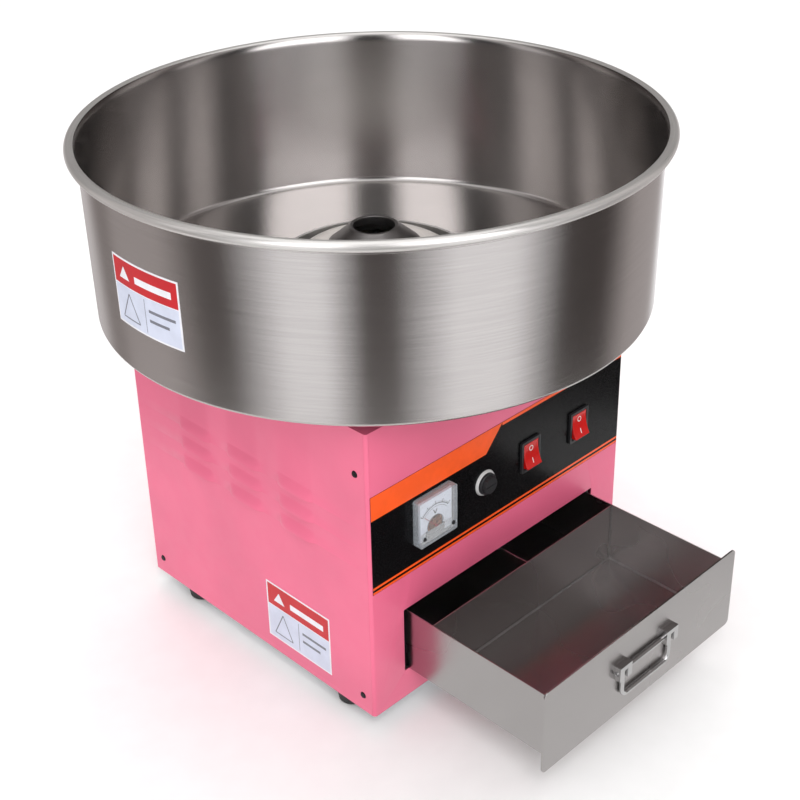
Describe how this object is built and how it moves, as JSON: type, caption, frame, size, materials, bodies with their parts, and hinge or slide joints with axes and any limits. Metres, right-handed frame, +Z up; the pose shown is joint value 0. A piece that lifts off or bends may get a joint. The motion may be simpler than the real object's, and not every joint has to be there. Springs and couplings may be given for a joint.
{
  "type": "cotton candy machine",
  "caption": "Counter-top cotton candy machine: steel bowl around a spinning sugar head, on a painted cabinet with a storage drawer, voltmeter, fuse and rocker switches.",
  "frame": {"origin": "on the counter, straight under the bowl's and spinner's axis", "axes": "+Z up, the controls and the drawer face -Y, +X to the right seen from the front"},
  "size_m": [0.5199, 0.5817, 0.484],
  "materials": {
    "pink_paint": "gloss powder coat",
    "galvanised": "zinc plated",
    "black_rubber": "matte",
    "black_screw": "black oxide",
    "overlay_film": "satin printed film",
    "label_film": "printed film",
    "white_nylon": "matte",
    "cast_aluminium": "satin cast and turned",
    "polished_aluminium": "polished",
    "lamination_steel": "varnished laminations",
    "copper": "enamelled copper",
    "bearing_steel": "ground",
    "bakelite": "moulded phenolic",
    "black_plastic": "moulded",
    "wire_insulation": "silicone sleeved",
    "dial_card": "printed card",
    "clear_acrylic": "clear moulded",
    "needle_paint": "painted",
    "white_plastic": "moulded",
    "fuse_glass": "clear tube with plated caps",
    "red_rocker": "moulded",
    "carbon": "pressed carbon",
    "brushed_stainless": "brushed, satin",
    "bright_chrome": "polished plate",
    "heater_alloy": "oxidised"
  },
  "bodies": {
    "cabinet": {"side_panels": "pink_paint", "back_panel": "pink_paint", "front_panel": "pink_paint", "top_deck": "pink_paint", "base_plate": "galvanised", "feet": "black_rubber", "foot_screws": "galvanised", "side_screws": "black_screw", "control_overlay": "overlay_film", "side_label": "label_film", "drawer_tunnel": "galvanised", "drawer_rails": "white_nylon", "motor_bridge": "galvanised", "motor_dampers": "black_rubber", "motor_lower_shield": "cast_aluminium", "motor_upper_shield": "cast_aluminium", "stator_core": "lamination_steel", "stator_coils": "copper", "motor_bolts": "galvanised", "motor_bearings": "bearing_steel", "brush_holder": "bakelite", "brush_springs": "bearing_steel", "cord_gland": "black_plastic", "terminal_block": "white_nylon", "run_capacitor": "cast_aluminium", "wiring_loom": "wire_insulation", "meter_case": "black_plastic", "meter_dial": "dial_card", "meter_movement": "copper", "meter_cover": "clear_acrylic", "fuse_holder": "white_plastic", "heat_switch_frame": "black_plastic", "power_switch_frame": "black_plastic", "bowl_gasket": "black_rubber"},
    "drawer": {"drawer_tray": "brushed_stainless", "drawer_partition": "brushed_stainless", "drawer_front": "brushed_stainless", "handle_lugs": "bright_chrome"},
    "handle": {"handle_bail": "bright_chrome"},
    "spinner": {"motor_shaft": "bearing_steel", "rotor_core": "galvanised", "cooling_fan": "black_plastic", "slip_ring_hub": "bakelite", "slip_rings": "copper", "head_hub": "cast_aluminium", "head_dish": "cast_aluminium", "heater_element": "heater_alloy", "floss_band": "galvanised", "head_dome": "polished_aluminium", "head_funnel": "cast_aluminium", "head_screws": "galvanised"},
    "bowl": {"bowl": "brushed_stainless", "bowl_label": "label_film"},
    "needle": {"meter_needle": "needle_paint"},
    "fuse_carrier": {"fuse_link": "fuse_glass"},
    "fuse_knob": {"fuse_cap": "black_plastic"},
    "heat_rocker": {"heat_rocker": "red_rocker"},
    "power_rocker": {"power_rocker": "red_rocker"},
    "upper_brush": {"upper_brush": "carbon"},
    "lower_brush": {"lower_brush": "carbon"}
  },
  "joints": [
    {"name": "drawer_slide", "type": "slide", "parent": "cabinet", "child": "drawer", "axis": [0, -1, 0], "range_m": [-0.1567, 0.05]},
    {"name": "handle_swing", "type": "hinge", "parent": "drawer", "child": "handle", "pos_m": [0, -0.318, 0.085], "axis": [-1, 0, 0], "range_deg": [0, 90]},
    {"name": "spinner_spin", "type": "hinge", "parent": "cabinet", "child": "spinner", "pos_m": [0, 0, 0.3], "axis": [0, 0, 1], "continuous": true},
    {"name": "bowl_lift", "type": "slide", "parent": "cabinet", "child": "bowl", "axis": [0, 0, 1], "range_m": [0, 0.2]},
    {"name": "heat_switch", "type": "hinge", "parent": "cabinet", "child": "heat_rocker", "pos_m": [0.0333, -0.157, 0.197], "axis": [1, 0, 0], "range_deg": [0, 24]},
    {"name": "power_switch", "type": "hinge", "parent": "cabinet", "child": "power_rocker", "pos_m": [0.1013, -0.157, 0.197], "axis": [1, 0, 0], "range_deg": [0, 24]},
    {"name": "needle_swing", "type": "hinge", "parent": "cabinet", "child": "needle", "pos_m": [-0.0932, -0.1633, 0.187], "axis": [0, 1, 0], "range_deg": [0, 90], "stiffness_Nm_per_rad": 0.0002},
    {"name": "fuse_pull", "type": "slide", "parent": "cabinet", "child": "fuse_carrier", "axis": [0, -1, 0], "range_m": [0, 0.034]},
    {"name": "fuse_turn", "type": "hinge", "parent": "fuse_carrier", "child": "fuse_knob", "pos_m": [-0.026, -0.1573, 0.1945], "axis": [0, -1, 0], "range_deg": [0, 90]},
    {"name": "upper_brush_slide", "type": "slide", "parent": "cabinet", "child": "upper_brush", "axis": [1, 0, 0], "range_m": [0, 0.003], "stiffness_N_per_m": 120, "springref_m": -0.004, "deforming": ["brush_springs"]},
    {"name": "lower_brush_slide", "type": "slide", "parent": "cabinet", "child": "lower_brush", "axis": [1, 0, 0], "range_m": [0, 0.003], "stiffness_N_per_m": 120, "springref_m": -0.004}
  ]
}
